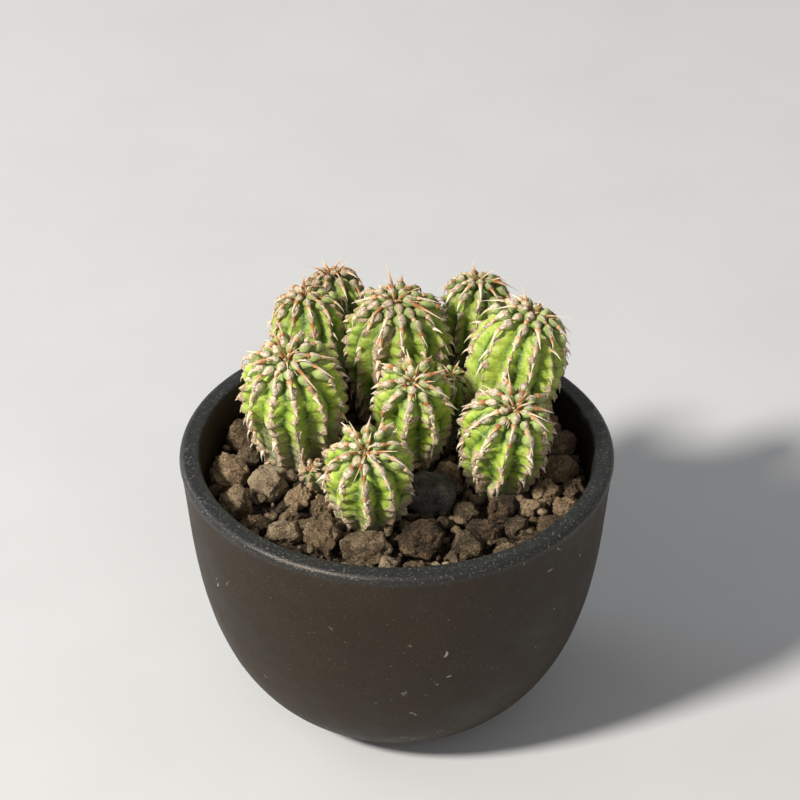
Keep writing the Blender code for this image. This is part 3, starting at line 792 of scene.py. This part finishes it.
def dress_crown(stem, skin, spines, dice, spine_size, dry):
    """A whorl of small buds round the growing point, each with a spine, and loose spines."""
    across, other, along = stem.cross(1.0)
    size = stem.scale
    buds = 8 if stem.girth > 0.006 else 4
    for k in range(buds):
        angle = stem.turn + k * GOLDEN_ANGLE
        part = (k + 0.6) / buds
        away = across * math.cos(angle) + other * math.sin(angle)
        tilt = math.radians(8.0 + 50.0 * part)
        ahead = along * math.cos(tilt) + away * math.sin(tilt)
        start = stem.crown + away * 0.0023 * part * size - along * 0.0006
        length = (0.0014 + 0.0016 * part) * size
        radius = (0.00042 + 0.00042 * part) * size
        tip, pointing = add_bulb(skin, start, ahead, unit(along + away * 0.3), length, radius,
                                 -0.1, 0.8, dry, dice)
        thorn = dice.uniform(0.002, 0.0042) * size * spine_size
        add_spine(spines, tip - pointing * 0.0002, unit(pointing + along * 0.5), away, thorn,
                  0.0003, dice, dice.uniform(-0.2, 0.5))
    for _ in range(buds + 4):
        angle = dice.uniform(0.0, TURN)
        away = across * math.cos(angle) + other * math.sin(angle)
        start = stem.crown + away * dice.uniform(0.0, 0.0014) * size - along * 0.0004
        ahead = unit(along + away * dice.uniform(0.1, 1.3))
        thorn = dice.uniform(0.0014, 0.0036) * size
        add_spine(spines, start, ahead, away, thorn, 0.00036, dice, dice.uniform(-0.6, 0.3))


def dress_ribs(stem, skin, spines, others, dice, spine_size, dry):
    """A bud for each rib's first two tubercles, and a spine on most tubercles."""
    size = stem.scale
    for rib in range(stem.ribs):
        for index, mark in enumerate(stem.teeth[rib][:-1]):
            peak = mark + (stem.teeth[rib][index + 1] - mark) * TOOTH_PEAK
            if peak > stem.length[-1] - 0.0012:
                break
            if index < 2:
                start, normal, down = stem.skin_frame(rib, mark)
                raised = math.radians(dice.uniform(24.0, 50.0) - 17.0 * index)
                ahead = down * math.cos(raised) + normal * math.sin(raised)
                length = BULB_LENGTH * size * dice.uniform(0.85, 1.1) * (0.86 + 0.14 * index)
                radius = BULB_RADIUS * size * dice.uniform(0.9, 1.1) * (0.88 + 0.14 * index)
                sink = radius * (0.2 + 0.3 * index)
                tip, pointing = add_bulb(skin, start - normal * sink, ahead, normal, length, radius,
                                         dice.uniform(0.02, 0.16), 1.0, dry, dice)
                ahead = unit(pointing + down * 0.1)
                thorn = dice.uniform(0.0022, 0.0042) * size * spine_size
                droop = -normal if index else unit(down - normal * 0.6)
            else:
                start, normal, down = stem.skin_frame(rib, peak)
                if dice.random() < 0.24:
                    continue
                tip = start - normal * 0.0002
                ahead = unit(normal * dice.uniform(0.8, 1.2) + down * dice.uniform(0.1, 0.8))
                thorn = dice.triangular(0.0007, 0.0033, 0.0013) * size * spine_size
                droop = unit(down - normal * dice.uniform(0.1, 0.6))
            thorn = free_length(others, tip, ahead, thorn)
            if thorn > LEAST_SPINE:
                tone = dice.uniform(0.15, 1.0) + (0.5 - dry) * min(index, 2) / 2.0
                add_spine(spines, tip - ahead * 0.0003, ahead, droop, thorn,
                          dice.uniform(0.00032, 0.00054) * min(size, 1.1), dice, tone)


# how dry each stem is, how much painted shade darkens it, how long its spines are, and the side
# with a corky scar
STEM_LOOKS = {
    "left": (0.75, 0.00, 1.00, None),
    "front": (0.55, 0.00, 0.95, None),
    "middle": (0.30, 0.00, 0.95, None),
    "front_right": (0.25, 0.00, 0.95, None),
    "right": (0.40, 0.00, 1.05, None),
    "centre_back": (0.30, 0.30, 1.10, -122.0),
    "back_right": (0.50, 0.38, 1.00, None),
    "back_left": (1.10, 0.28, 1.00, None),
    "far_back": (1.50, 0.42, 1.05, None),
    "small": (0.80, 0.10, 0.70, None),
    "bud": (2.20, 0.10, 0.40, None),
}


def make_stems():
    spine_material = spine_look()
    for number, (name, (dryness, painted_shade, spine_size, scar)) in enumerate(STEM_LOOKS.items()):
        dice = random.Random(100 + number)
        node = "stem_" + name
        stem = Stem(node)
        stem.place_teeth(dice)
        skin = stem_skin(stem, dice, scar)
        spines = Body()
        others = tree_of([other for other in NODES if other != node])
        dry = min(1.0, max(0.0, dryness - 0.9))
        dress_crown(stem, skin, spines, dice, spine_size, dry)
        dress_ribs(stem, skin, spines, others, dice, spine_size, dry)
        material = skin_look("skin_" + name, dryness, painted_shade)
        skin.make("plant_" + name, material, SLOT_OF[node], [node])
        spines.make("spines_" + name, spine_material, "dry_bud")


# ---- gravel and soil ----
def broken(points, seed, planes, depth):
    """Flatten parts of a lump's surface, as where a stone broke."""
    middle = points.mean(axis=0)
    shape = points - middle
    dice = random.Random(seed)
    for _ in range(planes):
        facing = unit(np.array([dice.gauss(0.0, 1.0) for _ in range(3)]))
        height = shape @ facing
        limit = height.max() * dice.uniform(1.0 - depth, 0.97)
        over = np.maximum(height - limit, 0.0)
        shape = shape - np.outer(over * 0.9, facing)
    return shape + middle


def make_stones(materials):
    """Each CAD stone again, with a broken, rough and pitted surface."""
    for node in sorted(name for name in NODES if name.startswith("stone_")):
        slot = SLOT_OF[node]
        planes, depth, rough = (14, 0.28, 0.55) if slot == "stone_slate" else (18, 0.36, 1.0)
        seed = int(node[-2:])
        bm = welded(node)
        bmesh.ops.subdivide_edges(bm, edges=bm.edges, cuts=7, use_grid_fill=True, smooth=0.2)
        bmesh.ops.triangulate(bm, faces=bm.faces)
        points = np.array([v.co for v in bm.verts])
        shape = broken(points, seed, planes, depth)
        for vertex, place in zip(bm.verts, shape):
            vertex.co = place
        bm.normal_update()
        normals = np.array([v.normal for v in bm.verts])
        faces = [[v.index for v in face.verts] for face in bm.faces]
        bm.free()
        rise = relief(shape, (0.004, 0.00035, seed), (0.0018, 0.0005 * rough, seed),
                      (0.0008, 0.00034 * rough, seed))
        rise -= 0.00045 * smooth_step(lumps(shape, 0.0012, seed + 20.0), 0.2, 0.5) * rough
        body = Body()
        body.add(shape + normals * rise[:, None], [faces], tone=0.5 * math.sin(seed * 12.9))
        body.make("gravel_" + node[-2:], materials[slot], slot, [node])


def unit_ball(subdivisions):
    bm = bmesh.new()
    bmesh.ops.create_icosphere(bm, subdivisions=subdivisions, radius=1.0)
    points = np.array([v.co for v in bm.verts])
    faces = [[v.index for v in face.verts] for face in bm.faces]
    bm.free()
    return points, faces


GRIT_TRIES = 9000
GRIT_SIZES = (0.0007, 0.0025)  # smallest and largest half width
GRIT_PILE = 0.0036  # how high it lies between the stones
GRIT_KINDS = ("stone_brown",) * 3 + ("stone_dark",) * 2 + ("stone_pale",)
GRIT_TO_STONE = 0.7  # least distance from a stone, as a share of the half width
GRIT_TO_GRIT = 0.8  # least distance between two grains, as a share of both


def make_grit(materials):
    """Small broken stones that fill the gaps between the CAD stones."""
    dice = random.Random(7)
    solids = tree_of([node for node in NODES if node not in ("soil", "pot")])
    bodies = {slot: Body() for slot in sorted(set(GRIT_KINDS))}
    fine, coarse = unit_ball(3), unit_ball(2)
    placed = []
    for attempt in range(GRIT_TRIES):
        shrink = 1.0 - attempt / GRIT_TRIES
        size = GRIT_SIZES[0] + (GRIT_SIZES[1] - GRIT_SIZES[0]) * shrink * dice.uniform(0.6, 1.0)
        out = (SOIL_RADIUS - size) * math.sqrt(dice.random())
        turn = dice.uniform(0.0, TURN)
        tall = size * dice.uniform(-0.15, 0.75) + GRIT_PILE * dice.random()**1.5
        spot = np.array((out * math.cos(turn), out * math.sin(turn), SOIL_TOP + tall))
        near = solids.find_nearest(Vector(spot))
        hanging = tall > size and near[3] > size * 1.5
        if near[3] < size * GRIT_TO_STONE or hanging:
            continue
        if (Vector(spot) - near[0]).dot(near[1]) < 0.0:
            continue
        if any(abs(spot[0] - p[0]) + abs(spot[1] - p[1]) < 2.0 * (size + s)
               and np.linalg.norm(spot - p) < GRIT_TO_GRIT * (size + s) for p, s in placed):
            continue
        placed.append((spot, size))
        points, faces = fine if size > 0.0014 else coarse
        roll = dice.uniform(0.0, 6.28)
        pole = Vector([dice.uniform(-1, 1) for _ in range(3)]).normalized()
        spin = np.array(Matrix.Rotation(roll, 3, pole))
        stretch = np.array((1.0, dice.uniform(0.65, 0.95), dice.uniform(0.55, 0.85)))
        seed = dice.uniform(0.0, 90.0)
        uneven = 1.0 + relief(points, (0.95, 0.3, seed), (0.38, 0.2, seed))
        shape = broken(points, int(seed * 1000), 9, 0.34) * uneven[:, None]
        shape = (shape * stretch * size) @ spin.T + spot
        bodies[dice.choice(GRIT_KINDS)].add(shape, [faces], tone=dice.uniform(-0.6, 0.6))
    for slot, body in bodies.items():
        body.make("grit_" + slot[6:], materials[slot], slot)


def make_soil():
    """The crumbly top of the soil, on a plain body that fills the pot."""
    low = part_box("soil")[0].z
    rings = [(SOIL_RADIUS * share, SOIL_TOP) for share in np.linspace(0.0, 1.0, SOIL_RINGS + 1)[1:]]
    rings += [(inner_radius(height) - 0.0003, height)
              for height in np.linspace(SOIL_TOP - 0.002, low + 0.0005, 24)]
    angles = round_angles(260)
    grid = np.array([[(r * math.cos(a), r * math.sin(a), z) for a in angles] for r, z in rings])
    top = grid[:SOIL_RINGS]
    rise = relief(top, (0.003, 0.6, 1.0), (0.0012, 0.5, 2.0), (0.0005, 0.25, 3.0))
    edge = smooth_step(np.linspace(1.0, 0.0, SOIL_RINGS), 0.0, 0.02)
    top[..., 2] += rise.reshape(top.shape[:2]) * SOIL_CRUMBS * edge[:, None]
    body = Body()
    body.add_rings(grid, (0.0, 0.0, SOIL_TOP), (0.0, 0.0, low))
    body.make("soil_bed", soil_look(), "soil", ["soil"])


# ---- pot ----
def side_curve(share):
    """Points (radius, height) on the pot's outer side and the curve's direction there."""
    handles = np.array(((FOOT_RADIUS, 0.0), (POT_RADIUS, BELLY_HEIGHT),
                        (POT_RADIUS - RIM_FLARE, SHOULDER_HEIGHT),
                        (POT_RADIUS, POT_HEIGHT - RIM_ROUND_OUT)))
    back = 1.0 - share
    weights = np.stack([back**3, 3 * back**2 * share, 3 * back * share**2, share**3], -1)
    slopes = np.stack([3 * back**2, 6 * back * share, 3 * share**2], -1)
    direction = slopes @ np.diff(handles, axis=0)
    return weights @ handles, direction / np.linalg.norm(direction, axis=-1)[:, None]


def inner_line():
    """The pot's inner side from the floor up."""
    points, direction = side_curve(np.linspace(0.0, 1.0, SIDE_STEPS))
    line = points + np.stack([-direction[:, 1], direction[:, 0]], -1) * POT_WALL
    keep = line[line[:, 1] > POT_FLOOR]
    return np.concatenate([[(np.interp(POT_FLOOR, line[:, 1], line[:, 0]), POT_FLOOR)], keep])


def inner_radius(height):
    line = inner_line()
    return float(np.interp(height, line[:, 1], line[:, 0]))


def arc(centre, radius, start, steps):
    angles = np.radians(start + 90.0 * np.arange(steps + 1) / steps)
    return np.array(centre) + radius * np.stack([np.cos(angles), np.sin(angles)], -1)


def pot_outline():
    """The turned outline from the foot up the outside, over the rim and down to the drain hole."""
    outer, _ = side_curve(np.linspace(0.0, 1.0, SIDE_STEPS))
    rim_out = arc((POT_RADIUS - RIM_ROUND_OUT, POT_HEIGHT - RIM_ROUND_OUT), RIM_ROUND_OUT, 0.0, 8)
    edge = POT_RADIUS - POT_WALL
    across = np.stack([np.linspace(POT_RADIUS - RIM_ROUND_OUT, edge + RIM_ROUND_IN, 8)[1:-1],
                       np.full(6, POT_HEIGHT)], -1)
    rim_in = arc((edge + RIM_ROUND_IN, POT_HEIGHT - RIM_ROUND_IN), RIM_ROUND_IN, 90.0, 5)
    inner = inner_line()[::-1]
    inner = inner[(inner[:, 1] < POT_HEIGHT - 2.0 * RIM_ROUND_IN) & (inner[:, 0] < edge)]
    floor = np.stack([np.linspace(inner[-1, 0], DRAIN_RADIUS, 12)[1:], np.full(11, POT_FLOOR)], -1)
    hole = np.stack([np.full(6, DRAIN_RADIUS), np.linspace(POT_FLOOR, 0.0, 7)[1:]], -1)
    foot = np.stack([np.linspace(DRAIN_RADIUS, FOOT_RADIUS, 12)[1:-1], np.zeros(10)], -1)
    return np.concatenate([outer, rim_out[1:], across, rim_in, inner, floor, hole, foot])


def make_pot():
    outline = pot_outline()
    angles = round_angles(POT_SEGMENTS)
    radius, height = outline[:, :1], outline[:, 1:]
    grid = np.stack([radius * np.cos(angles), radius * np.sin(angles),
                     np.broadcast_to(height, (len(outline), POT_SEGMENTS))], -1)
    flat = grid.reshape(-1, 3)
    wave = relief(flat, (0.03, 1.0, 4.0), (0.004, 0.35, 6.0)) * THROWN_WAVE
    off_foot = smooth_step(flat[:, 2], 0.0005, 0.004)
    wave *= off_foot * smooth_step(np.hypot(flat[:, 0], flat[:, 1]), 0.02, 0.03)
    outward = flat * (1.0, 1.0, 0.0)
    outward /= np.linalg.norm(outward, axis=1)[:, None]
    flat = flat + outward * wave[:, None]
    quads = ring_quads(len(outline), POT_SEGMENTS, closed=True)
    body = Body()
    rim = smooth_step(flat[:, 2], POT_HEIGHT - RIM_FADE[0], POT_HEIGHT - RIM_FADE[1])
    body.add(flat, [quads[:, [0, 3, 2, 1]]], rim=rim)
    pot = body.make("pot_body", pot_look(), "pot", ["pot"])
    pot.data.set_sharp_from_angle(angle=math.radians(40.0))


# ---- stage ----
CAMERA_TILT = math.radians(35.2)  # how far the camera looks down
CAMERA_DISTANCE = 0.95
AIM_HEIGHT = 0.075
SENSOR = 36.0
LENS = 168.9
SHIFT = (0.00375, 0.0591)
LIGHT_AIM = Vector((0.0, 0.0, 0.06))
FLOOR_HALF = 2.5


def make_camera():
    data = bpy.data.cameras.new("camera")
    data.sensor_width = SENSOR
    data.lens = LENS
    data.shift_x, data.shift_y = SHIFT
    data.clip_start = 0.01
    camera = new_object("camera", data)
    camera.location = (0.0, -math.cos(CAMERA_TILT) * CAMERA_DISTANCE,
                       AIM_HEIGHT + math.sin(CAMERA_TILT) * CAMERA_DISTANCE)
    camera.rotation_euler = (math.pi / 2 - CAMERA_TILT, 0.0, 0.0)
    bpy.context.scene.camera = camera


def area_light(name, place, size, power, colour):
    data = bpy.data.lights.new(name, "AREA")
    data.shape = "DISK"
    data.size = size
    data.energy = power
    data.color = colour
    light = new_object(name, data)
    light.location = place
    light.rotation_euler = (LIGHT_AIM - Vector(place)).to_track_quat("-Z", "Y").to_euler()


def make_stage():
    mesh = bpy.data.meshes.new("floor")
    corners = [(x * FLOOR_HALF, y * FLOOR_HALF, 0) for x, y in ((-1, -1), (1, -1), (1, 1), (-1, 1))]
    mesh.from_pydata(corners, [], [(0, 1, 2, 3)])
    look = Look("pale_floor", roughness=0.9, Specular_IOR_Level=0.2)
    look.colour(look.ramp(look.noise(0.05, 4.0), (0.3, (0.435, 0.435, 0.43)),
                          (0.7, (0.455, 0.455, 0.45))))
    mesh.materials.append(look.material)
    new_object("floor", mesh)
    area_light("key", (-1.34, -0.98, 1.5), 0.3, 94.0, (1.0, 0.97, 0.92))
    area_light("fill", (0.6, -2.0, 1.4), 1.2, 8.0, (1.0, 0.97, 0.94))
    area_light("window", (-1.4, 0.9, 0.8), 1.0, 9.0, (0.88, 0.94, 1.0))
    world = bpy.data.worlds.new("studio")
    world.use_nodes = True
    background = world.node_tree.nodes["Background"]
    background.inputs["Color"].default_value = (0.95, 0.96, 1.0, 1.0)
    background.inputs["Strength"].default_value = 0.36
    bpy.context.scene.world = world
    bpy.context.scene.view_settings.view_transform = "Standard"


make_camera()
make_stage()
make_pot()
make_soil()
stone_materials = {slot: stone_look(slot) for slot in STONE_SHADES}
make_stones(stone_materials)
make_grit(stone_materials)
make_stems()
